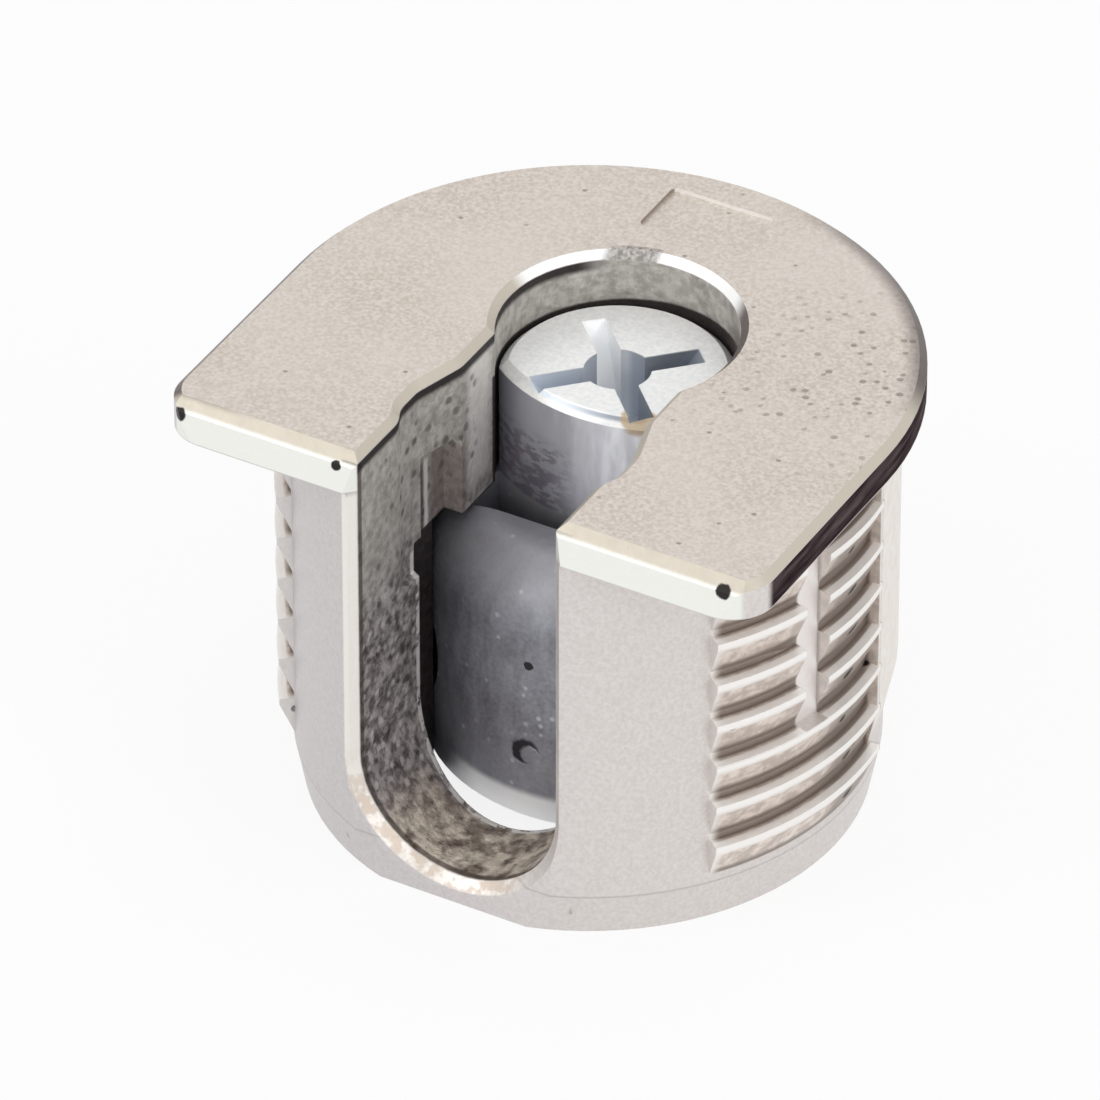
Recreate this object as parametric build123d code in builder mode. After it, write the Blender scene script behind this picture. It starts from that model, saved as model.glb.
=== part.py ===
"""Cam lock connector: a ribbed zinc housing that is pressed into a 20 mm blind hole, and the
tensioning cam that is trapped inside it.  A bolt head drops down the keyhole slot from the rim
side, and half a turn of the cam pulls it in.

Frame: origin on the axis of the drilled hole, at the housing's lower end.  +Z points to the
rim, and the slot opens towards -Y.  All sizes are in millimetres.
"""
import os
from math import atan, cos, degrees, radians, sin

from build123d import *

# ---- the drilled hole and the bolt that the connector is made for ----
hole_diameter = 20.0
bolt_axis_z = 4.45
bolt_head_diameter = 7.0
bolt_neck_diameter = 4.5

# ---- housing: the plug that sits in the hole ----
housing_height = 16.1
rib_depth = 0.5
flat_depth = 0.7
lead_in_height = 1.6
lead_in_depth = 0.3

# ---- housing: the rim ----
rim_thickness = 1.3
rim_overhang = 0.75
rim_centre_y = 0.1
rim_corner_radius = 1.5
rim_bevel = 0.25
rim_front_bevel = 0.4
rim_lean = 0.25

# ---- housing: barbed ribs that grip the wall of the hole ----
rib_bite = 0.1
rib_pitch = 1.62
rib_first_z = 1.9
rib_land = 0.22
low_rib_angles = (-37.0, 45.0)
rib_block_angles = ((-37.0, 19.6), (-11.5, 19.5), (38.0, 38.0))
rib_block_z = 6.6
fin_start = 7.0
fin_sweep = 22.5
fin_lower_end = 4.9
fin_taper_height = 2.2
fin_bite = 0.05

# ---- housing: keyhole slot, relief behind it and bore for the cam's neck ----
slot_clearance = 0.2
slot_edge_width = 0.35
belly_depth = 0.3
belly_start = 0.3
belly_end = 1.4
waist_inset = 0.25
waist_start = 3.3
keyhole_curve = 1.2
keyhole_bevel = 0.25
relief_clearance = 1.2
relief_step = 0.45
pocket_front = 1.5
pocket_length = 1.8
pocket_height = 3.2
field_length = 3.8
field_width = 2.4
field_depth = 0.15
field_shift_x = -0.25
field_edge_gap = 1.35

# ---- housing: staked nibs that hold the cam in from below ----
nib_count = 3
nib_first_angle = 90.0
nib_reach = 0.45
nib_height = 0.25
nib_sweep = 22.0

# ---- tensioning cam ----
cam_y = 1.9
back_wall = 1.3
running_gap = 0.1
end_play = 0.1
chamber_ceiling_z = 10.0
shoulder_land = 0.15
drum_foot_chamfer = 0.2
neck_front = 2.6
neck_front_radius = 6.0
neck_edge_chamfer = 0.3
disc_depth = 1.8
disc_margin = 1.0
head_clearance = 0.8
head_headroom = 0.3
cavity_floor = 0.7
flank_rise = 0.4
flank_end_angle = 210.0
window_length = 0.7
slit_clearance = 0.3
recess_span = 5.7
recess_root = 2.2
recess_wing = 0.8
recess_depth = 2.5
recess_core_radius = 1.1

# ---- sizes that follow from those above ----
core_radius = hole_diameter / 2 + rib_bite - rib_depth
front_flat_y = flat_depth - core_radius
slot_half_width = bolt_head_diameter / 2 + slot_clearance / 2
rim_radius = hole_diameter / 2 + rim_overhang
rim_base_z = housing_height - rim_thickness
rib_crest_radius = hole_diameter / 2 + rib_bite
rib_count = round((rim_base_z - rib_first_z) / rib_pitch)
low_rib_count = round((rib_block_z - rib_first_z) / rib_pitch)
rib_blocks = [(low_rib_angles, 0, low_rib_count)]
rib_blocks += [(angles, low_rib_count, rib_count) for angles in rib_block_angles]
fin_crest_radius = hole_diameter / 2 + fin_bite
drum_radius = core_radius - back_wall - cam_y - running_gap
chamber_radius = drum_radius + running_gap
relief_radius = drum_radius + relief_clearance
relief_front_y = cam_y - relief_radius
neck_radius = recess_span / 2 + disc_margin
neck_front_y = cam_y - neck_front
bore_radius = neck_radius + running_gap
drum_base_z = nib_height + end_play
drum_top_z = chamber_ceiling_z - end_play
drum_shoulder_radius = drum_radius - neck_radius - shoulder_land
disc_top_z = housing_height - disc_depth
cavity_radius = bolt_head_diameter / 2 + head_clearance
cavity_floor_z = drum_base_z + cavity_floor
cavity_top_z = bolt_axis_z + bolt_head_diameter / 2 + head_headroom
slit_height = bolt_neck_diameter + slit_clearance
cut_margin = 1.0


def upright_plane(angle, centre_y=0.0):
    """A vertical plane through an upright axis, whose local X points outwards at the angle."""
    across = (cos(radians(angle)), sin(radians(angle)), 0)
    return Plane(origin=(0, centre_y, 0), x_dir=across, z_dir=(across[1], -across[0], 0))


def slot_outline(front_plane, half_width):
    """The U of the bolt slot: straight side walls on a round floor that is centred on the bolt."""
    with BuildSketch(front_plane) as outline:
        with Locations((0, bolt_axis_z)):
            Circle(half_width)
            Rectangle(2 * half_width, housing_height, align=(Align.CENTER, Align.MIN))
    return outline.sketch


with BuildPart() as housing:
    # Plug body: a lead-in cone below that finds the hole, and a flat front.
    with BuildSketch(Plane.XY.offset(lead_in_height)) as lead_in_plan:
        Circle(core_radius)
    extrude(amount=-lead_in_height, taper=degrees(atan(lead_in_depth / lead_in_height)))
    with BuildSketch(Plane.XZ.offset(-front_flat_y)) as flat_plan:
        Rectangle(2 * core_radius, lead_in_height, align=(Align.CENTER, Align.MIN))
    extrude(amount=flat_depth, mode=Mode.SUBTRACT)
    with BuildSketch(Plane.XY.offset(lead_in_height)) as plug_plan:
        Circle(core_radius)
        with Locations((0, front_flat_y)):
            Rectangle(2 * core_radius, 2 * core_radius, align=(Align.CENTER, Align.MAX), mode=Mode.SUBTRACT)
    extrude(amount=rim_base_z - lead_in_height)

    # D-shaped rim: round behind, with straight sides.
    with BuildSketch(Plane.XY.offset(rim_base_z)) as rim_plan:
        with BuildLine():
            Polyline(
                (rim_radius, rim_centre_y),
                (rim_radius, front_flat_y),
                (-rim_radius, front_flat_y),
                (-rim_radius, rim_centre_y),
            )
            ThreePointArc(
                (-rim_radius, rim_centre_y), (0, rim_centre_y + rim_radius), (rim_radius, rim_centre_y)
            )
        make_face()
        fillet(rim_plan.vertices().group_by(Axis.Y)[0], radius=rim_corner_radius)
    extrude(amount=rim_thickness)
    chamfer(housing.faces().sort_by(Axis.Z)[-1].outer_wire().edges(), length=rim_bevel)

    # The rim's front leans back from the plug's flat, and has a wider bevel along its top edge.
    with BuildSketch(Plane.YZ) as rim_front:
        with BuildLine():
            Polyline(
                (front_flat_y - cut_margin, rim_base_z),
                (front_flat_y, rim_base_z),
                (front_flat_y + rim_lean, housing_height - rim_front_bevel),
                (front_flat_y + rim_lean + rim_front_bevel, housing_height),
                (front_flat_y + rim_lean + rim_front_bevel, housing_height + cut_margin),
                (front_flat_y - cut_margin, housing_height + cut_margin),
                close=True,
            )
        make_face()
    extrude(amount=rim_radius + cut_margin, both=True, mode=Mode.SUBTRACT)

    # Keyhole through the deck: the slot swells a little, narrows to a waist and meets the bore.
    with BuildSketch(Plane.XY.offset(chamber_ceiling_z - cut_margin)) as keyhole_plan:
        with BuildLine() as keyhole_side:
            Polyline(
                (0, front_flat_y - cut_margin),
                (slot_half_width, front_flat_y - cut_margin),
                (slot_half_width, relief_front_y - belly_start),
                (slot_half_width + belly_depth, relief_front_y + belly_start),
                (slot_half_width + belly_depth, relief_front_y + belly_end),
                (slot_half_width - waist_inset, relief_front_y + waist_start),
                (slot_half_width - waist_inset, cam_y),
                (0, cam_y),
                close=True,
            )
        make_face()
        mirror(about=Plane.YZ)
        curve_ends = (relief_front_y - 2 * belly_start, relief_front_y + waist_start + belly_start)
        fillet(keyhole_plan.vertices().filter_by_position(Axis.Y, *curve_ends), radius=keyhole_curve)
        with Locations((0, cam_y)):
            Circle(bore_radius)
    extrude(amount=housing_height - chamber_ceiling_z + 2 * cut_margin, mode=Mode.SUBTRACT)

    # Bolt slot through the front wall, with its edge flared at the mouth.
    slot_back = Plane.XZ.offset(-relief_front_y - cut_margin)
    slot_length = relief_front_y + cut_margin - front_flat_y + cut_margin
    extrude(slot_outline(slot_back, slot_half_width), amount=slot_length, mode=Mode.SUBTRACT)
    slot_mouth = Plane.XZ.offset(-front_flat_y)
    flare_shape = slot_outline(slot_mouth, slot_half_width + slot_edge_width)
    extrude(flare_shape, amount=-slot_edge_width, taper=45, mode=Mode.SUBTRACT)

    # Relief behind the slot, round about the cam's axis and open at the bottom like the chamber,
    # so that the bolt head has room to drop.
    with BuildSketch(Plane.XY) as relief_plan:
        with Locations((0, cam_y)):
            Circle(relief_radius)
            Rectangle(
                2 * (slot_half_width + relief_step),
                relief_radius,
                align=(Align.CENTER, Align.MAX),
                mode=Mode.INTERSECT,
            )
    extrude(amount=chamber_ceiling_z, mode=Mode.SUBTRACT)

    # Shallow pocket in each side of the keyhole, above the chamber.
    with BuildSketch(Plane.XY.offset(chamber_ceiling_z)) as pocket_plan:
        with Locations((0, relief_front_y + pocket_front)):
            Rectangle(
                2 * (slot_half_width + relief_step), pocket_length, align=(Align.CENTER, Align.MIN)
            )
    extrude(amount=pocket_height, mode=Mode.SUBTRACT)

    # Round chamber for the cam's drum, open at the bottom.
    with BuildSketch(Plane.XY) as chamber_plan:
        with Locations((0, cam_y)):
            Circle(chamber_radius)
    extrude(amount=chamber_ceiling_z, mode=Mode.SUBTRACT)

    # Bevel along the keyhole's upper edge.
    with BuildSketch(Plane.XY.offset(housing_height)) as bevel_plan:
        add(keyhole_plan.sketch_local)
        offset(amount=keyhole_bevel, kind=Kind.INTERSECTION)
    extrude(amount=-keyhole_bevel, taper=45, mode=Mode.SUBTRACT)

    # Shallow field sunk in the top of the rim, left bare.
    field_y = rim_centre_y + rim_radius - field_edge_gap - field_width / 2
    with BuildSketch(Plane.XY.offset(housing_height)) as field_plan:
        with Locations((field_shift_x, field_y)):
            RectangleRounded(field_length, field_width, field_width / 10)
    extrude(amount=-field_depth, mode=Mode.SUBTRACT)

    # Barbs: each rises outwards as it climbs, and steps back in above its crest.  The low ones run
    # on under the plain strip that parts the blocks above.
    for (start, sweep), lowest, above in rib_blocks:
        for begin in (start, 180.0 - start - sweep):
            with BuildSketch(upright_plane(begin)) as barb_profile:
                with BuildLine():
                    root = core_radius - rib_bite
                    barb_points = [(root, rib_first_z + lowest * rib_pitch)]
                    for step in range(lowest, above):
                        foot_z = rib_first_z + step * rib_pitch
                        crest_z = foot_z + rib_pitch - 2 * rib_land
                        barb_points += [
                            (core_radius, foot_z),
                            (rib_crest_radius, crest_z),
                            (rib_crest_radius, crest_z + rib_land),
                            (core_radius, crest_z + rib_land),
                        ]
                    barb_points += [(root, rib_first_z + above * rib_pitch - rib_land)]
                    Polyline(barb_points, close=True)
                make_face()
            revolve(axis=Axis.Z, revolution_arc=sweep)

    # Plain fin on each side, with a sloping lower end, that keeps the housing from turning.
    for begin in (fin_start, 180.0 - fin_start - fin_sweep):
        with BuildSketch(upright_plane(begin)) as fin_profile:
            with BuildLine():
                Polyline(
                    (core_radius - rib_bite, fin_lower_end - fin_taper_height),
                    (core_radius, fin_lower_end - fin_taper_height),
                    (fin_crest_radius, fin_lower_end),
                    (fin_crest_radius, rim_base_z),
                    (core_radius - rib_bite, rim_base_z),
                    close=True,
                )
            make_face()
        revolve(axis=Axis.Z, revolution_arc=fin_sweep)

    # Nibs staked inwards under the drum.
    for number in range(nib_count):
        nib_angle = nib_first_angle + 360.0 / nib_count * number - nib_sweep / 2
        with BuildSketch(upright_plane(nib_angle, cam_y)) as nib_profile:
            with BuildLine():
                Polyline(
                    (chamber_radius + nib_reach / 2, 0),
                    (chamber_radius - nib_reach, 0),
                    (chamber_radius, nib_height),
                    (chamber_radius + nib_reach / 2, nib_height),
                    close=True,
                )
            make_face()
        revolve(axis=Axis((0, cam_y, 0), (0, 0, 1)), revolution_arc=nib_sweep)

housing.part.label = "housing"


with BuildPart() as tensioning_cam:
    # Drum that turns in the chamber, rounded over at its shoulder.
    with BuildSketch(Plane.XY.offset(drum_base_z)) as drum_plan:
        with Locations((0, cam_y)):
            Circle(drum_radius)
    extrude(amount=drum_top_z - drum_base_z)
    chamfer(tensioning_cam.edges().sort_by(Axis.Z)[0], length=drum_foot_chamfer)
    fillet(tensioning_cam.edges().sort_by(Axis.Z)[-1], radius=drum_shoulder_radius)

    # Neck with a flatter front, so that a bolt head can pass it in the keyhole.
    with BuildSketch(Plane.XY.offset(drum_top_z)) as neck_plan:
        with Locations((0, cam_y)):
            Circle(neck_radius)
        with Locations((0, neck_front_y + neck_front_radius)):
            Circle(neck_front_radius, mode=Mode.INTERSECT)
    extrude(amount=disc_top_z - drum_top_z)
    chamfer(tensioning_cam.faces().sort_by(Axis.Z)[-1].edges(), length=neck_edge_chamfer)

    # Cavity for the bolt head, off centre so that its flank closes in on the head.
    flank_direction = radians(flank_end_angle)
    with BuildSketch(Plane.XY.offset(cavity_floor_z)) as cavity_plan:
        with Locations((-flank_rise * cos(flank_direction), cam_y - flank_rise * sin(flank_direction))):
            Circle(cavity_radius)
    extrude(amount=cavity_top_z - cavity_floor_z, mode=Mode.SUBTRACT)

    # Window between the neck's front and the drum's front wall.
    with BuildSketch(Plane.XY.offset(cavity_top_z - cut_margin)) as window_plan:
        with Locations((0, neck_front_y - window_length)):
            Rectangle(2 * slot_half_width, neck_front, align=(Align.CENTER, Align.MIN))
        with Locations((0, neck_front_y + neck_front_radius)):
            Circle(neck_front_radius, mode=Mode.SUBTRACT)
    extrude(amount=drum_top_z - cavity_top_z + 2 * cut_margin, mode=Mode.SUBTRACT)

    # Entry for the bolt head, open to the side and to the top, round the foot of the neck.
    with BuildSketch(Plane.XY.offset(cavity_floor_z)) as entry_plan:
        with Locations((0, cam_y)):
            Rectangle(2 * slot_half_width, drum_radius + cut_margin, align=(Align.CENTER, Align.MIN))
            Circle(neck_radius, mode=Mode.SUBTRACT)
    extrude(amount=drum_top_z - cavity_floor_z + cut_margin, mode=Mode.SUBTRACT)

    # Slit for the bolt's neck, from the entry round to its closed round end.
    with BuildSketch(upright_plane(90.0, cam_y)) as slit_profile:
        with Locations((cavity_radius - flank_rise - cut_margin, bolt_axis_z)):
            Rectangle(drum_radius, slit_height, align=(Align.MIN, Align.CENTER))
    revolve(
        axis=Axis((0, cam_y, 0), (0, 0, 1)), revolution_arc=flank_end_angle - 90.0, mode=Mode.SUBTRACT
    )
    slit_direction = (cos(flank_direction), sin(flank_direction), 0)
    slit_end = Plane(origin=(0, cam_y, bolt_axis_z), z_dir=slit_direction)
    with BuildSketch(slit_end) as slit_end_profile:
        Circle(slit_height / 2)
    extrude(amount=drum_radius + cut_margin, mode=Mode.SUBTRACT)

    # Cross recess for the screwdriver: two tapering wings and a round core.
    for wing_angle in (45.0, 135.0):
        with BuildSketch(upright_plane(wing_angle, cam_y)) as wing_profile:
            with BuildLine():
                Polyline(
                    (-recess_span / 2, disc_top_z),
                    (recess_span / 2, disc_top_z),
                    (recess_root / 2, disc_top_z - recess_depth),
                    (-recess_root / 2, disc_top_z - recess_depth),
                    close=True,
                )
            make_face()
        extrude(amount=recess_wing / 2, both=True, mode=Mode.SUBTRACT)
    with BuildSketch(Plane.XY.offset(disc_top_z)) as recess_core:
        with Locations((0, cam_y)):
            Circle(recess_core_radius)
    extrude(amount=-recess_depth, mode=Mode.SUBTRACT)

tensioning_cam.part.label = "tensioning_cam"


os.makedirs("parts", exist_ok=True)
export_step(housing.part, "parts/housing.step")
export_step(tensioning_cam.part, "parts/tensioning_cam.step")
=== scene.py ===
from math import degrees, radians
import bpy
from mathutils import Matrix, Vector


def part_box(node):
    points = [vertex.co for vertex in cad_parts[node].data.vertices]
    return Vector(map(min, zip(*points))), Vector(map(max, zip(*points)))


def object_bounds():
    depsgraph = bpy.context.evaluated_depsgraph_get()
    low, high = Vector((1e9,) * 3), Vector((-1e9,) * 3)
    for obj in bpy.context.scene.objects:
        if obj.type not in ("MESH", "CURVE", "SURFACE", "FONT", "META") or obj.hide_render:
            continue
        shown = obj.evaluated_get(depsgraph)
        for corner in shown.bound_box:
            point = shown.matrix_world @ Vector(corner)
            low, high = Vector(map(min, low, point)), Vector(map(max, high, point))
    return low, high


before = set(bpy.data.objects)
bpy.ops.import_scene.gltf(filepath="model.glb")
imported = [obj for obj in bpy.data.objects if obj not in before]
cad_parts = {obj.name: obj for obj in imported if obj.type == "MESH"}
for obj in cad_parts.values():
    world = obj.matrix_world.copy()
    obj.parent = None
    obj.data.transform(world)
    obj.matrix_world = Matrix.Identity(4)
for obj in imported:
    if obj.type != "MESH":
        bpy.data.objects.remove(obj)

cad_low, cad_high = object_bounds()


# ---- Camera -------------------------------------------------------------------------------
# A long lens on a stand, looking down past the right-hand side of the slot's mouth.
camera_data = bpy.data.cameras.new("camera")
camera_data.lens = 400.8
camera_data.sensor_width = 36.0
camera_data.clip_start = 0.01
camera = bpy.data.objects.new("camera", camera_data)
bpy.context.scene.collection.objects.link(camera)
camera.location = Vector((0.15483, -0.27783, 0.24256))
camera_aim = Vector((-0.001144, -0.000495, 0.008225))
camera.rotation_euler = (camera_aim - camera.location).to_track_quat("-Z", "Y").to_euler()
bpy.context.scene.camera = camera
bpy.context.scene.view_settings.view_transform = "Standard"


# ---- Studio: floor, sky and lamps ---------------------------------------------------------
# A sweep of white paper under a plain white sky, with four soft lamps: a broad key on the
# left, a fill in front, one on the right and a weak one overhead.
class Shade:
    """A socket in a node tree that takes part in arithmetic; with no socket, just the tree."""

    def __init__(self, tree, socket=None):
        self.tree = tree
        self.socket = socket

    def node(self, kind, settings, values, output=0):
        """Any node by its type, its settings, and the values or links of its sockets."""
        made = self.tree.nodes.new(kind)
        for name, value in settings.items():
            setattr(made, name, value)
        for key, value in values.items():
            if isinstance(value, Shade):
                self.tree.links.new(value.socket, made.inputs[key])
            else:
                made.inputs[key].default_value = value
        return None if output is None else Shade(self.tree, made.outputs[output])

    def math(self, operation, *others):
        values = dict(enumerate((self, *others)))
        return self.node("ShaderNodeMath", {"operation": operation}, values)

    def __add__(self, other):
        return self.math("ADD", other)

    def __sub__(self, other):
        return self.math("SUBTRACT", other)

    def __rsub__(self, other):
        return (self * -1.0) + other

    def __mul__(self, other):
        return self.math("MULTIPLY", other)

    __radd__ = __add__
    __rmul__ = __mul__

    def ramp(self, low, high):
        """A mask that rises smoothly from 0 at low to 1 at high, or falls if high is below low."""
        start, end, first, last = (low, high, 0.0, 1.0) if low < high else (high, low, 1.0, 0.0)
        settings = {"interpolation_type": "SMOOTHSTEP"}
        return self.node("ShaderNodeMapRange", settings, {0: self, 1: start, 2: end, 3: first, 4: last})

    def between(self, low, high, soft):
        """A mask that is 1 from low to high, with soft edges."""
        return self.ramp(low - soft, low + soft) * self.ramp(high + soft, high - soft)

    def mix(self, first, second):
        """A colour: the first where this mask is 0, the second where it is 1."""
        values = {0: self, 6: first, 7: second}
        return self.node("ShaderNodeMix", {"data_type": "RGBA"}, values, output=2)


def seen_by_mirrors(tree):
    """A mask for what the camera sees, straight or in gloss and glass, as against soft light."""
    camera_ray, glossy_ray, transmission_ray = [
        Shade(tree).node("ShaderNodeLightPath", {}, {}, output=path) for path in (0, 3, 6)
    ]
    return (camera_ray + glossy_ray + transmission_ray).math("MINIMUM", 1.0)


def soft_box(name, place, size, power):
    """A square lamp that faces the middle of the object."""
    data = bpy.data.lights.new(name, "AREA")
    data.size = size
    data.energy = power
    box = bpy.data.objects.new(name, data)
    bpy.context.scene.collection.objects.link(box)
    box.location = place
    middle = (cad_low + cad_high) / 2
    box.rotation_euler = (middle - box.location).to_track_quat("-Z", "Y").to_euler()


soft_box("key_lamp", Vector((-0.22, -0.26, 0.28)), 0.20, 0.24)
soft_box("fill_lamp", Vector((0.16, -0.38, 0.12)), 0.20, 0.20)
soft_box("side_lamp", Vector((0.36, -0.06, 0.14)), 0.20, 0.30)
soft_box("top_lamp", Vector((0.02, 0.10, 0.42)), 0.25, 0.15)

white = (1.0, 1.0, 1.0, 1.0)
world = bpy.data.worlds.new("sky")
world.use_nodes = True
world.node_tree.nodes.clear()
bpy.context.scene.world = world
sky_colour = seen_by_mirrors(world.node_tree).mix((0.75, 0.75, 0.76, 1.0), white)
sky_light = sky_colour.node("ShaderNodeBackground", {}, {"Color": sky_colour})
sky_light.node("ShaderNodeOutputWorld", {}, {"Surface": sky_light}, output=None)

bpy.ops.object.select_all(action="DESELECT")
bpy.ops.mesh.primitive_plane_add(size=6.0, location=(0.0, 0.0, cad_low.z))
floor = bpy.context.object
floor.name = "floor"
paper = bpy.data.materials.new("paper")
paper.use_nodes = True
paper.node_tree.nodes.clear()
paper_share = seen_by_mirrors(paper.node_tree) * 0.85
paper_lit = paper_share.node("ShaderNodeBsdfDiffuse", {}, {"Color": (0.9, 0.9, 0.9, 1.0)})
paper_glow = paper_share.node("ShaderNodeEmission", {}, {"Color": white})
paper_look = paper_share.node("ShaderNodeMixShader", {}, {0: paper_share, 1: paper_lit, 2: paper_glow})
paper_look.node("ShaderNodeOutputMaterial", {}, {"Surface": paper_look}, output=None)
floor.data.materials.append(paper)


# ---- Housing ------------------------------------------------------------------------------
# The ribbed plug with its rim is one zinc die casting, tumbled and then nickel plated. The
# plating is thin and dull where the tumbling stones don't reach: in the slot and between ribs.
class Place:
    """A point on a piece in millimetres, from Object coordinates, and the patterns laid on it."""

    def __init__(self, material):
        start = Shade(material.node_tree).node("ShaderNodeTexCoord", {}, {}, output=3)
        self.point = start.node("ShaderNodeVectorMath", {"operation": "SCALE"}, {0: start, 3: 1000.0})
        self.x, self.y, self.z = [
            self.point.node("ShaderNodeSeparateXYZ", {}, {0: self.point}, output=axis) for axis in range(3)
        ]
        facing = Shade(material.node_tree).node("ShaderNodeTexCoord", {}, {}, output=1)
        self.upward = facing.node("ShaderNodeSeparateXYZ", {}, {0: facing}, output=2)

    def grain(self, per_mm, detail=2.0, stretch=(1.0, 1.0, 1.0), seed=0.0):
        """Soft random grain from 0 to 1, so many cells to a millimetre."""
        values = {"Vector": self.point, "Location": (seed, seed, seed), "Scale": stretch}
        point = self.point.node("ShaderNodeMapping", {}, values)
        values = {"Vector": point, "Scale": per_mm, "Detail": detail, "Roughness": 0.6}
        return self.point.node("ShaderNodeTexNoise", {}, values)

    def pits(self, per_mm, share, radius, seed=0.0):
        """Round pits, 1 in the middle, in that share of the cells, with a radius in millimetres."""
        values = {"Vector": self.point, "Location": (seed, seed, seed)}
        point = self.point.node("ShaderNodeMapping", {}, values)
        cell = {"Vector": point, "Scale": per_mm}
        away = self.point.node("ShaderNodeTexVoronoi", {}, cell, output=0)
        tint = self.point.node("ShaderNodeTexVoronoi", {}, cell, output=1)
        lot = tint.node("ShaderNodeSeparateColor", {}, {0: tint}, output=0)
        return away.ramp(radius * per_mm, 0.4 * radius * per_mm) * lot.ramp(share + 0.01, share - 0.01)

    def drop(self, x, y, z, radius):
        """One round spot, 1 in the middle, at a place on the piece."""
        apart = {"operation": "DISTANCE"}
        away = self.point.node("ShaderNodeVectorMath", apart, {0: self.point, 1: (x, y, z)}, output=1)
        ragged = away + 0.5 * radius * (self.grain(1.2 / radius) - 0.5)
        return ragged.ramp(radius, 0.75 * radius)

    def reach(self, centre_x, centre_y):
        """The distance in plan from an upright axis."""
        across, along = self.x - centre_x, self.y - centre_y
        return (across * across + along * along).math("SQRT")


def finish(name, node_name):
    """A new material on a CAD piece: its place in millimetres and its main shader."""
    material = bpy.data.materials.new(name)
    material.use_nodes = True
    piece = bpy.data.objects[node_name]
    piece.data.materials.clear()
    piece.data.materials.append(material)
    return Place(material), material.node_tree.nodes["Principled BSDF"]


def connect(place, shader, colour, roughness, metallic, height):
    """Colour, roughness and metal, and a height in millimetres as bump."""
    links = place.point.tree.links
    bump = place.point.node("ShaderNodeBump", {}, {"Strength": 1.0, "Distance": 0.001, "Height": height})
    links.new(colour.socket, shader.inputs["Base Color"])
    links.new(roughness.socket, shader.inputs["Roughness"])
    links.new(metallic.socket, shader.inputs["Metallic"])
    links.new(bump.socket, shader.inputs["Normal"])


housing_low, housing_high = [corner * 1000 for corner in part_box("housing")]
cam_low, cam_high = [corner * 1000 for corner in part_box("tensioning_cam")]
cam_y = (cam_low.y + cam_high.y) / 2
rim_radius = housing_high.x
rim_centre_y = housing_high.y - rim_radius
rim_thickness = 1.3
rim_base_z = housing_high.z - rim_thickness
rim_bevel = 0.25
rim_lean = 0.25
field_margin = 1.35
field_width = 2.4
field_reach = 2.4
field_depth = 0.15
lead_in_height = 1.6
relief_radius = cam_high.x + 1.2
chamber_ceiling = 10.0
bore_radius = 3.95
slot_side = 4.1
bolt_axis_z = 4.45
rib_root = 9.6
rib_crest = 10.1
rib_first_z = 1.9
rib_pitch = 1.62
low_block_top = 6.5

# Where the ribs, the strip and the fin start and end, in degrees behind the plug's widest line.
low_block = (-37.0, 7.6)
front_block = (-37.0, -17.4)
middle_block = (-11.5, 7.6)
back_block = (38.0, 76.0)
strip_span = (-17.2, -11.7)
fin_span = (8.2, 29.0)
block_edge = 0.3

# Distances in millimetres from the casting's middle plane, front and axes, and angles round them.
place, nickel_shader = finish("nickel_plate", "housing")
sideways = place.x.math("ABSOLUTE")
from_front = place.y - housing_low.y
from_axis = place.reach(0.0, 0.0)
from_cam = place.reach(0.0, cam_y)
behind = (place.y - rim_centre_y).math("MAXIMUM", 0.0)
from_rim_middle = (place.x * place.x + behind * behind).math("SQRT")
angle = place.y.math("ARCTAN2", sideways) * degrees(1.0)
rim_angle = (place.y - rim_centre_y).math("ARCTAN2", place.x) * degrees(1.0)

# Where tumbling doesn't reach: the slot, the keyhole and bore, and the chamber.
under_bevel = place.z.ramp(housing_high.z - rim_bevel, housing_high.z - rim_bevel - 0.05)
in_slot = sideways.ramp(slot_side + 0.1, slot_side) * place.z.ramp(0.75, 0.85)
in_slot = in_slot * from_front.ramp(0.32, 0.42) * place.y.ramp(cam_y, cam_y - 0.5)
in_bore = from_cam.ramp(bore_radius + 0.12, bore_radius + 0.05)
in_chamber = from_cam.ramp(relief_radius + 0.12, relief_radius + 0.05) * place.z.ramp(0.05, 0.15)
in_chamber = in_chamber * place.z.ramp(chamber_ceiling + 0.1, chamber_ceiling + 0.02)
in_chamber = in_chamber * from_axis.ramp(rib_root - 0.6, rib_root - 0.8)
inside = in_slot.math("MAXIMUM", in_bore).math("MAXIMUM", in_chamber) * under_bevel

# The rim: its top, its bevel, its upright side and its front.
on_top = place.z.ramp(housing_high.z - 0.20, housing_high.z - 0.17) * place.upward.ramp(0.85, 0.95)
in_rim = place.z.ramp(rim_base_z, rim_base_z + 0.05)
rim_side = from_rim_middle.ramp(rim_radius - 0.12, rim_radius - 0.06) * in_rim * under_bevel
rim_side = rim_side * from_front.ramp(1.1, 1.5)
rim_front = in_rim * from_front.ramp(rim_lean + 0.20, rim_lean + 0.05) * under_bevel
bevel = place.z.ramp(housing_high.z - rim_bevel - 0.15, housing_high.z - rim_bevel)
bevel = bevel * place.upward.between(0.30, 0.92, 0.03) * (1.0 - inside)

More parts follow.
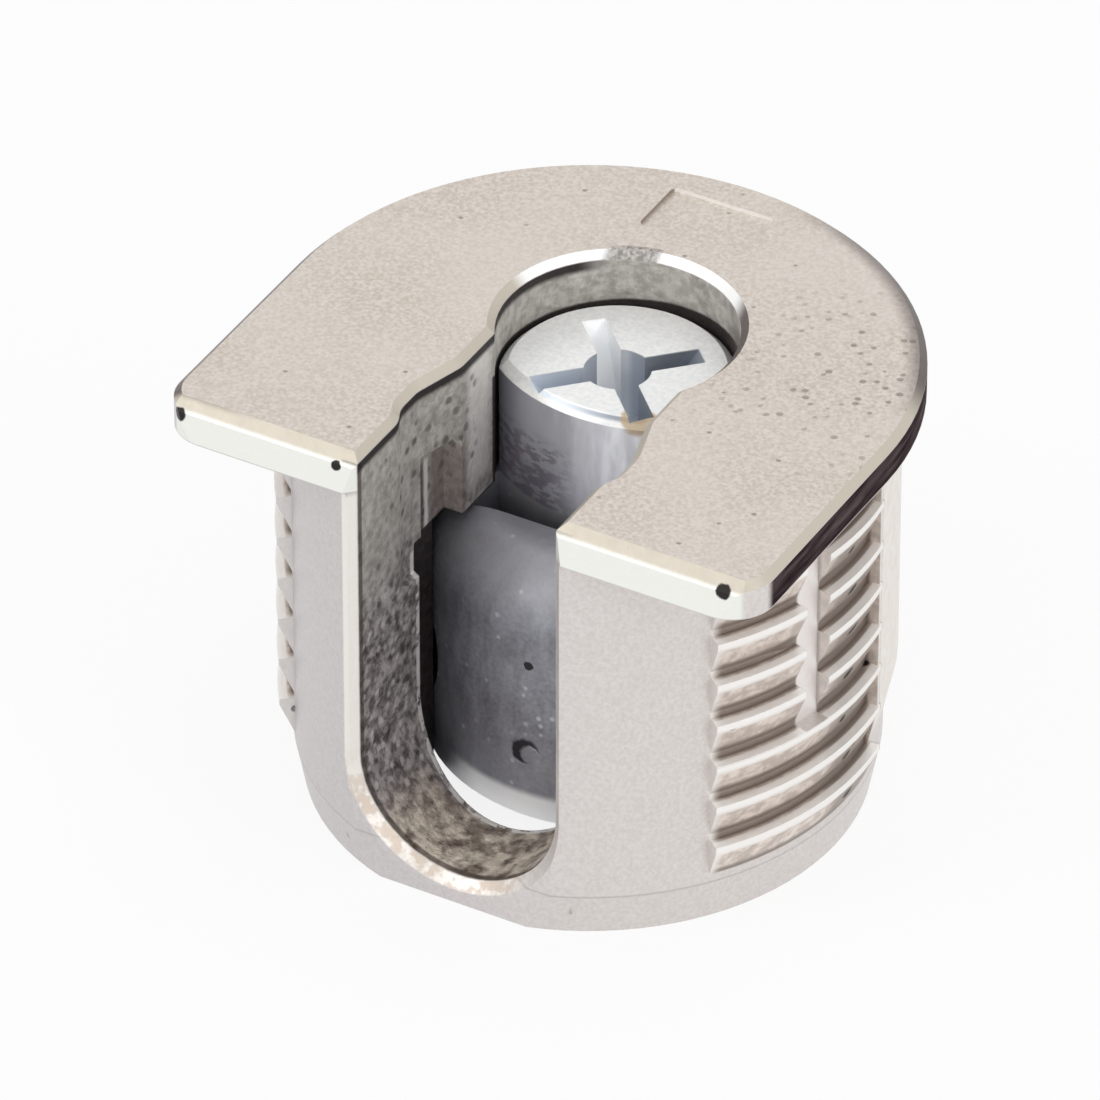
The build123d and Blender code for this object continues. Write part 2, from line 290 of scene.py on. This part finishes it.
# The ribs: the blocks that carry them, how far the surface lies below a crest, and the ledges.
low_ribs = angle.between(*low_block, block_edge) * place.z.between(rib_first_z, low_block_top, 0.05)
high_ribs = angle.between(*front_block, block_edge) + angle.between(*middle_block, block_edge)
high_ribs = high_ribs + angle.between(*back_block, block_edge)
high_ribs = high_ribs * place.z.between(low_block_top, rim_base_z, 0.05)
ribbed = high_ribs.math("MAXIMUM", low_ribs) * from_axis.ramp(rib_root - 0.2, rib_root - 0.1)
groove = ribbed * from_axis.ramp(rib_crest - 0.02, rib_crest - 0.10)
ledge = ribbed * place.upward.ramp(0.5, 0.8) * from_axis.ramp(rib_root + 0.15, rib_root + 0.25)
strip = angle.between(*strip_span, block_edge) * from_axis.between(rib_root - 0.1, rib_root + 0.1, 0.05)
strip = strip * place.z.between(low_block_top + 0.1, rim_base_z - 0.1, 0.1)
fin = angle.between(*fin_span, 0.4) * from_axis.ramp(rib_root + 0.1, rib_root + 0.3) * (1.0 - in_rim)

# Pits: strewn over the top and thicker on its right, one to a groove in a swaying column, and
# burnt spots along the rim's front.
pit_column_angle = -3.0
pit_column_sway = 1.6
fine = place.grain(7.0, 3.0)
coarse = place.grain(2.2, 2.0, seed=3.0)
broad = place.grain(0.16, 1.0, seed=8.0)
strewn = place.pits(1.5, 0.16, 0.10)
top_right = place.x.ramp(2.0, 7.5) * place.y.ramp(-4.0, 1.0) * place.y.ramp(9.0, 5.0)
speckled = place.pits(2.2, 0.75, 0.14, seed=5.0) * top_right
pitted = ((strewn + speckled) * on_top).math("MINIMUM", 1.0)
up_groove = (place.z - rib_first_z).math("MODULO", rib_pitch) - 0.35 * rib_pitch
along_groove = (angle - pit_column_angle) * radians(rib_crest)
along_groove = along_groove + pit_column_sway * (place.grain(0.45, 1.0, seed=17.0) - 0.5)
from_pit = (along_groove * along_groove + up_groove * up_groove).math("SQRT")
pit_column = (from_pit + 0.4 * (coarse - 0.5)).ramp(0.26, 0.14)
blown = (place.pits(0.7, 0.40, 0.17, seed=2.0) + pit_column).math("MINIMUM", 1.0) * groove
burnt = place.drop(-10.05, housing_low.y + 0.25, housing_high.z - 0.50, 0.27)
burnt = burnt + place.drop(-4.3, housing_low.y + 0.2, housing_high.z - 0.45, 0.21)
burnt = burnt + place.drop(9.6, housing_low.y + 0.3, housing_high.z - 0.40, 0.29)

# The plate is warm on the top, cool down the sides, and painted lighter towards the right: painted light.
top_shade = (0.545, 0.475, 0.415, 1.0)
top_light = (0.715, 0.660, 0.605, 1.0)
top_cloud = (0.55, 0.48, 0.42, 1.0)
top_bloom = (0.70, 0.64, 0.59, 1.0)
left_shade = (0.545, 0.515, 0.515, 1.0)
left_light = (0.62, 0.59, 0.585, 1.0)
right_shade = (0.62, 0.575, 0.555, 1.0)
right_light = (0.71, 0.675, 0.65, 1.0)
lead_in_line = (0.30, 0.28, 0.28, 1.0)
pit_brown = (0.24, 0.19, 0.16, 1.0)
plate = fine.ramp(0.30, 0.70).mix(top_shade, top_light)
plate = (coarse.ramp(0.40, 0.75) * 0.35).mix(plate, top_cloud)
plate = (broad.ramp(0.35, 0.70) * 0.45).mix(plate, top_bloom)
side_left = fine.ramp(0.25, 0.75).mix(left_shade, left_light)
side_right = fine.ramp(0.25, 0.75).mix(right_shade, right_light)
side_plate = place.x.ramp(-3.0, 6.0).mix(side_left, side_right)
lead_in_edge = place.z.between(lead_in_height - 0.05, lead_in_height + 0.02, 0.04) * (1.0 - inside)
side_plate = (0.45 * lead_in_edge).mix(side_plate, lead_in_line)
plate = (1.0 - on_top).mix(plate, side_plate)
plate = (0.70 * pitted).mix(plate, pit_brown)

# Between the ribs the plate has gone tan. Painted shade darkens the grooves about the plug's widest
# line, where the column of pits runs, and darkens the roots under each ledge most.
groove_light = (0.80, 0.71, 0.64, 1.0)
groove_dark = (0.52, 0.44, 0.39, 1.0)
widest_groove_shade_light = (0.36, 0.29, 0.24, 1.0)
widest_groove_shade_dark = (0.20, 0.16, 0.135, 1.0)
root_shade_brown = (0.22, 0.17, 0.14, 1.0)
crest_cream = (0.90, 0.88, 0.85, 1.0)
ledge_highlight_white = (0.99, 0.98, 0.96, 1.0)
fin_shade = (0.70, 0.64, 0.58, 1.0)
fin_light = (0.90, 0.87, 0.83, 1.0)
strip_cream = (0.84, 0.80, 0.78, 1.0)
groove_tan_and_shade = coarse.ramp(0.30, 0.65).mix(groove_light, groove_dark)
groove_tan_and_shade = angle.between(-9.0, 6.0, 3.0).mix(groove_tan_and_shade, coarse.mix(widest_groove_shade_light, widest_groove_shade_dark))
groove_tan_and_shade = from_axis.ramp(rib_root + 0.16, rib_root + 0.04).mix(groove_tan_and_shade, root_shade_brown)
plate = (0.9 * ribbed).mix(plate, crest_cream)
plate = (0.9 * groove * angle.ramp(-37.5, -34.5)).mix(plate, groove_tan_and_shade)
# Painted highlight: the ledges that face up are painted white, as if lit from above.
plate = ledge.mix(plate, ledge_highlight_white)
plate = fin.mix(plate, coarse.mix(fin_shade, fin_light))
plate = (0.8 * strip).mix(plate, strip_cream)

# The slot's edge carries a cream painted highlight, all but its right side, with brown stains low down.
edge_highlight_cream = (0.94, 0.90, 0.83, 1.0)
edge_stain = (0.60, 0.47, 0.35, 1.0)
below_bolt = (place.z - bolt_axis_z).math("MINIMUM", 0.0)
from_slot_middle = (place.x * place.x + below_bolt * below_bolt).math("SQRT")
slot_edge = from_front.between(0.02, 0.34, 0.03) * from_slot_middle.ramp(slot_side + 0.05, slot_side - 0.05)
slot_edge = slot_edge * place.z.ramp(rim_base_z, rim_base_z - 0.2) * place.x.ramp(3.2, 1.5)
edge_stained = 0.8 * place.z.ramp(5.0, 2.5) * coarse.ramp(0.40, 0.58)
plate = (0.7 * slot_edge).mix(plate, edge_stained.mix(edge_highlight_cream, edge_stain))

# The rim's front is bright and its bevel tan. Its upright side is dull, and painted shade darkens it,
# the bevel and the top's edge above it on the right, and the bevel along the left side.
shadow_brown = (0.36, 0.30, 0.26, 1.0)
front_silver = (0.83, 0.84, 0.79, 1.0)
bevel_tan = (0.56, 0.51, 0.43, 1.0)
bevel_dark = (0.085, 0.065, 0.065, 1.0)
edge_dark = (0.13, 0.10, 0.10, 1.0)
side_dark = (0.026, 0.014, 0.018, 1.0)
side_shade_pale = (0.150, 0.110, 0.112, 1.0)
shaded_span = (16.0, 74.0)
# Painted shadow: a brown band on the plug just under the rim's front.
under_rim = place.z.between(rim_base_z - 0.16, rim_base_z, 0.05) * from_front.ramp(0.15, 0.05)
plate = (0.6 * under_rim).mix(plate, shadow_brown)
plate = rim_front.mix(plate, front_silver)
plate = bevel.mix(plate, bevel_tan)
shaded_bevel = rim_angle.between(*shaded_span, 6.0) + place.x.ramp(-7.0, -9.0) * from_front.ramp(0.5, 0.8)
plate = (0.9 * bevel * shaded_bevel).mix(plate, bevel_dark)
shaded_edge = from_rim_middle.ramp(rim_radius - 0.85, rim_radius - 0.20) * on_top
shaded_edge = shaded_edge * rim_angle.between(*shaded_span, 12.0)
plate = (0.7 * shaded_edge).mix(plate, edge_dark)
streaks = place.grain(1.2, 3.0, (1.0, 0.25, 2.5), seed=4.0).ramp(0.35, 0.75)
plate = rim_side.mix(plate, streaks.mix(side_dark, side_shade_pale))

# The shallow field on the top has one wall in the light and the others in shadow.
field_bright = (1.0, 1.0, 0.98, 1.0)
field_far_y = rim_centre_y + rim_radius - field_margin
field_near_y = field_far_y - field_width
field_floor_z = housing_high.z - field_depth
field_wall = place.z.ramp(field_floor_z - 0.02, field_floor_z + 0.02) * place.upward.ramp(0.4, 0.2)
field_wall = field_wall * place.y.ramp(field_near_y - 1.0, field_near_y - 0.5)
field_wall = field_wall * sideways.ramp(field_reach + 0.1, field_reach - 0.1)
field_tone = place.y.ramp(field_far_y - 0.10, field_far_y - 0.04).mix(shadow_brown, field_bright)
plate = field_wall.mix(plate, field_tone)

# The bore's edge carries a painted highlight at the back, but for one scuffed stretch on the left.
bore_highlight = (0.95, 0.95, 0.94, 1.0)
scuff_dark = (0.16, 0.14, 0.13, 1.0)
scuff_light = (0.50, 0.46, 0.42, 1.0)
bore_edge = bevel * from_cam.ramp(bore_radius + 0.5, bore_radius + 0.4)
bore_edge = bore_edge * place.y.ramp(2.2, 3.0) * place.x.ramp(3.3, 2.5)
plate = bore_edge.mix(plate, bore_highlight)
scuffed = place.x.between(-2.3, -0.7, 0.15) * from_cam.ramp(bore_radius + 0.45, bore_radius + 0.35)
scuffed = scuffed * place.y.ramp(4.0, 4.6) * place.z.ramp(rim_base_z + 0.4, rim_base_z + 0.6)
plate = (0.85 * scuffed).mix(plate, fine.ramp(0.35, 0.65).mix(scuff_dark, scuff_light))

# Inside, the skin of the casting shows, mottled, and painted shade darkens it low down and leaves it
# paler towards the top, with blisters in its lower part and small holes in the slot's walls.
low_dark = (0.085, 0.066, 0.070, 1.0)
low_light = (0.60, 0.55, 0.54, 1.0)
high_dark = (0.38, 0.36, 0.33, 1.0)
high_light = (0.62, 0.60, 0.56, 1.0)
waist_cream = (0.90, 0.88, 0.84, 1.0)
blister_grey = (0.82, 0.78, 0.76, 1.0)
hole_dark = (0.05, 0.035, 0.035, 1.0)
patches = place.grain(3.0, 4.0, seed=6.0).ramp(0.38, 0.62)
clouds = place.grain(1.3, 2.0, seed=1.0).ramp(0.35, 0.65)
mottle = 0.6 * patches + 0.4 * clouds
skin = place.z.ramp(7.5, 12.0).mix(mottle.mix(low_dark, low_light), mottle.mix(high_dark, high_light))
waist = place.y.between(-1.9, -0.5, 0.3) * place.x.between(-3.8, -1.0, 0.1) * place.z.ramp(10.4, 11.2)
skin = (0.7 * waist).mix(skin, waist_cream)
blisters = place.pits(2.2, 0.85, 0.18, seed=21.0) * place.z.ramp(10.5, 9.5)
skin = (0.6 * blisters).mix(skin, blister_grey)
holes = place.pits(1.8, 0.75, 0.22, seed=23.0) * sideways.ramp(3.0, 3.4) * place.y.ramp(-1.2, -1.6)
skin = (0.6 * holes).mix(skin, hole_dark)

# In the left wall the metal has sunk behind a dark and a light line, and the slot's floor is worn brown.
sunk_top = 12.7
sunk_brown = (0.20, 0.15, 0.14, 1.0)
sunk_line_dark = (0.10, 0.075, 0.07, 1.0)
sunk_line_light = (0.95, 0.91, 0.87, 1.0)
floor_dark = (0.15, 0.11, 0.085, 1.0)
floor_light = (0.92, 0.82, 0.70, 1.0)
left_wall = place.x.ramp(-1.0, -2.0) * place.z.between(chamber_ceiling - 0.1, sunk_top, 0.15)
skin = (0.6 * left_wall * place.y.between(-3.2, -2.1, 0.25)).mix(skin, sunk_brown)
skin = (0.8 * left_wall * place.y.between(-3.90, -3.62, 0.05)).mix(skin, sunk_line_dark)
skin = (0.8 * left_wall * place.y.between(-3.55, -3.33, 0.04)).mix(skin, sunk_line_light)
slot_floor = place.z.ramp(2.8, 1.4) * from_front.ramp(3.4, 3.1)
worn_floor = 0.4 * mottle + 0.6 * place.grain(1.5, 3.0, seed=12.0).ramp(0.38, 0.62)
skin = slot_floor.mix(skin, worn_floor.mix(floor_dark, floor_light))

# Painted shade makes a dark line behind the slot's front edge, and a painted highlight a bright one
# where the chamber begins. The top of the left wall is darkened, and painted shade darkens the foot
# of the bore and all through the chamber.
front_line_shade = (0.07, 0.05, 0.04, 1.0)
back_line_highlight = (0.97, 0.95, 0.92, 1.0)
deep_black = (0.022, 0.016, 0.016, 1.0)
bore_shadow = (0.16, 0.13, 0.12, 1.0)
front_line = from_front.between(0.38, 0.62, 0.05)
back_line = from_cam.between(relief_radius + 0.02, relief_radius + 0.20, 0.03) * coarse.ramp(0.40, 0.48)
back_line = back_line * place.z.ramp(chamber_ceiling, chamber_ceiling - 0.3)
skin = (0.75 * front_line).mix(skin, front_line_shade)
skin = (0.85 * back_line).mix(skin, back_line_highlight)
darkened = place.z.ramp(housing_high.z - 0.75, housing_high.z - 0.50) * place.x.ramp(-2.0, -3.0)
bore_foot = in_bore * (place.z - 0.06 * place.x).ramp(cam_high.z + 0.16, cam_high.z + 0.04)
chamber_wall = in_chamber * from_cam.ramp(relief_radius + 0.01, relief_radius - 0.03)
darkened = darkened.math("MAXIMUM", bore_foot).math("MAXIMUM", chamber_wall)
skin = (0.95 * darkened).mix(skin, deep_black)
shaded = in_bore * place.x.ramp(2.0, 3.2) * place.z.ramp(housing_high.z - 0.1, rim_base_z + 0.1)
skin = (0.75 * shaded).mix(skin, bore_shadow)

soot = (0.02, 0.015, 0.015, 1.0)
plate = inside.mix(plate, skin)
plate = (blown + burnt).math("MINIMUM", 1.0).mix(plate, soot)
roughness = 0.42 + 0.16 * (coarse - 0.5) + 0.50 * rim_side + 0.22 * inside + 0.10 * groove
metallic = 0.6 + 0.4 * rim_side
height = 0.012 * fine + 0.012 * coarse - 0.05 * pitted - 0.12 * blown
height = height + inside * 0.06 * place.grain(4.0, 3.0, seed=6.0)
connect(place, nickel_shader, plate, roughness, metallic, height)


# ---- Tensioning cam -----------------------------------------------------------------------
# The cam is a second zinc die casting, left bare, and trapped in the housing by staked nibs.
# Its disc is bright from the driver, partly painted light; its neck and drum keep the dull grey of
# the casting, darkened by painted shade.
neck_front_y = cam_y - 2.6
neck_front_radius = 6.0
drum_top = 9.9
drum_radius = cam_high.x
drum_front_y = cam_low.y + 0.1
recess_reach = 2.9
recess_floor_z = cam_high.z - 2.5

place, zinc_shader = finish("bare_zinc", "tensioning_cam")
from_cam = place.reach(0.0, cam_y)
drum = place.z.ramp(drum_top + 0.1, drum_top)
disc = place.z.ramp(cam_high.z - 0.35, cam_high.z - 0.28)
in_recess = place.z.ramp(cam_high.z - 0.02, cam_high.z - 0.06)
in_recess = in_recess * place.z.ramp(recess_floor_z - 0.1, recess_floor_z)
in_recess = in_recess * from_cam.ramp(recess_reach + 0.05, recess_reach - 0.05)
behind_front = place.reach(0.0, neck_front_y + neck_front_radius)
in_recess = in_recess * behind_front.ramp(neck_front_radius - 0.10, neck_front_radius - 0.20)

# Dents, and the marks that the ejector pins left on the drum's front.
fine = place.grain(6.0, 3.0)
drawn = place.grain(2.0, 2.0, (1.0, 1.0, 0.25), seed=5.0)
cloud = place.grain(0.5, 2.0, seed=9.0)
upper_mark = place.drop(0.25, drum_front_y, 6.6, 0.20)
lower_mark = place.drop(0.1, drum_front_y, 3.1, 0.55) * (1.0 - place.drop(0.32, drum_front_y, 3.0, 0.44))
dents = (place.pits(0.55, 0.20, 0.12, seed=7.0) * drum + upper_mark).math("MINIMUM", 1.0)
dents = dents.math("MAXIMUM", lower_mark)

# The drum: cloudy grey and darkened with painted shade, with painted light on its shoulder, lighter
# low down, specked, and painted white at the foot as a painted reflection of the white floor.
drum_dark = (0.15, 0.145, 0.165, 1.0)
drum_light = (0.34, 0.35, 0.39, 1.0)
shoulder_lit_grey = (0.50, 0.50, 0.54, 1.0)
low_grey = (0.48, 0.48, 0.53, 1.0)
speck_grey = (0.70, 0.72, 0.76, 1.0)
foot_floor_reflection = (0.98, 0.98, 0.98, 1.0)
clouded = 0.35 * drawn.ramp(0.3, 0.7) + 0.35 * fine.ramp(0.3, 0.7) + 0.30 * cloud.ramp(0.3, 0.7)
zinc = clouded.mix(drum_dark, drum_light)
zinc = (0.6 * place.z.ramp(7.6, 9.6)).mix(zinc, shoulder_lit_grey)
zinc = (0.25 * place.z.ramp(4.2, 2.0)).mix(zinc, low_grey)
specks = place.pits(2.0, 0.45, 0.12, seed=15.0) * cloud.ramp(0.38, 0.55)
zinc = (0.5 * specks).mix(zinc, speck_grey)
foot = place.z.ramp(1.60, 1.25) * place.x.ramp(-3.5, -1.5)
foot = foot * from_cam.ramp(drum_radius - 0.40, drum_radius - 0.25)
zinc = foot.mix(zinc, foot_floor_reflection)

# The neck: painted light to the right and towards the top, painted shade to the left; scored on the left.
neck_dark = (0.30, 0.30, 0.35, 1.0)
neck_lit = (0.92, 0.93, 0.98, 1.0)
neck_grey = (0.42, 0.42, 0.47, 1.0)
score_dark = (0.15, 0.12, 0.16, 1.0)
neck_lit_share = place.x.ramp(-3.4, 3.0) + 0.25 * place.z.ramp(10.0, 13.0) - 0.15
neck = neck_lit_share.mix(neck_dark, neck_lit)
neck = (0.5 * drawn.ramp(0.3, 0.7)).mix(neck, neck_grey)
scored = place.grain(2.6, 4.0, (0.7, 0.7, 1.6), seed=14.0).ramp(0.44, 0.54)
scored = scored * place.x.ramp(0.2, -1.4) * place.z.ramp(12.8, 12.0)
neck = (0.65 * scored).mix(neck, score_dark)
zinc = (1.0 - drum).mix(zinc, neck)

# The disc and its recess: bright, partly painted light, with a bluish cross and a tan patch at the front
# edge.
disc_shade = (0.84, 0.85, 0.85, 1.0)
disc_light = (0.95, 0.95, 0.93, 1.0)
recess_dark = (0.34, 0.37, 0.42, 1.0)
recess_blue = (0.78, 0.83, 0.90, 1.0)
wing_white = (0.95, 0.96, 0.96, 1.0)
patch_tan = (0.50, 0.36, 0.20, 1.0)
mark_dark = (0.02, 0.02, 0.025, 1.0)
zinc = disc.mix(zinc, fine.ramp(0.3, 0.7).mix(disc_shade, disc_light))
recess_tone = place.x.ramp(1.5, -1.5).mix(recess_dark, recess_blue)
far_wing = place.y.ramp(cam_y + 0.7, cam_y + 1.0) * place.x.ramp(0.0, -0.3)
recess_tone = (0.9 * far_wing).mix(recess_tone, wing_white)
zinc = in_recess.mix(zinc, recess_tone)
tan_patch = place.drop(1.85, 0.0, cam_high.z - 0.1, 0.65) * place.y.ramp(0.45, 0.25)
zinc = (0.8 * tan_patch).mix(zinc, patch_tan)
zinc = dents.mix(zinc, mark_dark)

roughness = 0.40 + 0.15 * (fine - 0.5) + 0.08 * drum
metallic = 0.45 + 0.15 * drum
height = 0.008 * fine + 0.008 * drawn - 0.06 * dents
connect(place, zinc_shader, zinc, roughness, metallic, height)
